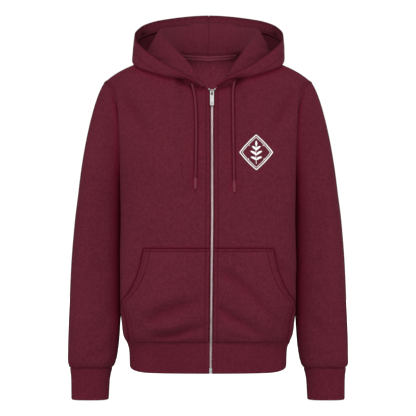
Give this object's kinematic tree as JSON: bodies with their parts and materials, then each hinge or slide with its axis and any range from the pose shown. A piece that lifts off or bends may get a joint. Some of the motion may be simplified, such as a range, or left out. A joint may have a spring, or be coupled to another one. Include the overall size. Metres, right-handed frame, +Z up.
{
  "type": "zip-up hoodie",
  "caption": "Filled-out zip-up fleece hoodie with folded-back hood, drawcords, split kangaroo pocket and ribbed hem and cuffs.",
  "frame": {"origin": "middle of the neck, 5 mm below the high shoulder points, where the wearer's shoulders carry the garment", "axes": "+Z up, front towards -Y, wearer's left towards +X"},
  "size_m": [0.6144, 0.3397, 0.862],
  "materials": {
    "fleece": "brushed-back sweatshirt fleece, burgundy",
    "rib": "rib knit, burgundy",
    "tape": "woven tape, burgundy",
    "cord": "round braided cord, burgundy",
    "metal": "satin nickel-coloured metal"
  },
  "bodies": {
    "garment": {"back": "fleece", "cord_tip_left": "cord", "cord_tip_right": "cord", "cuff_left": "rib", "cuff_right": "rib", "drawcord_left": "cord", "drawcord_right": "cord", "front_left": "fleece", "front_right": "fleece", "hem_rib": "rib", "hood_left": "fleece", "hood_right": "fleece", "neck_tape": "tape", "pocket_left": "fleece", "pocket_right": "fleece", "sleeve_left": "fleece", "sleeve_right": "fleece", "zip_box": "metal", "zip_chain": "metal", "zip_slider": "metal", "zip_stop_left": "metal", "zip_stop_right": "metal", "zip_tape_left": "tape", "zip_tape_right": "tape"},
    "tab": {"pull_tab": "metal"}
  },
  "joints": [
    {"name": "pull_tab_swing", "type": "hinge", "parent": "garment", "child": "tab", "pos_m": [0.00861, -0.08289, -0.08796], "axis": [-1, 0, 0], "range_deg": [0, 150]}
  ]
}
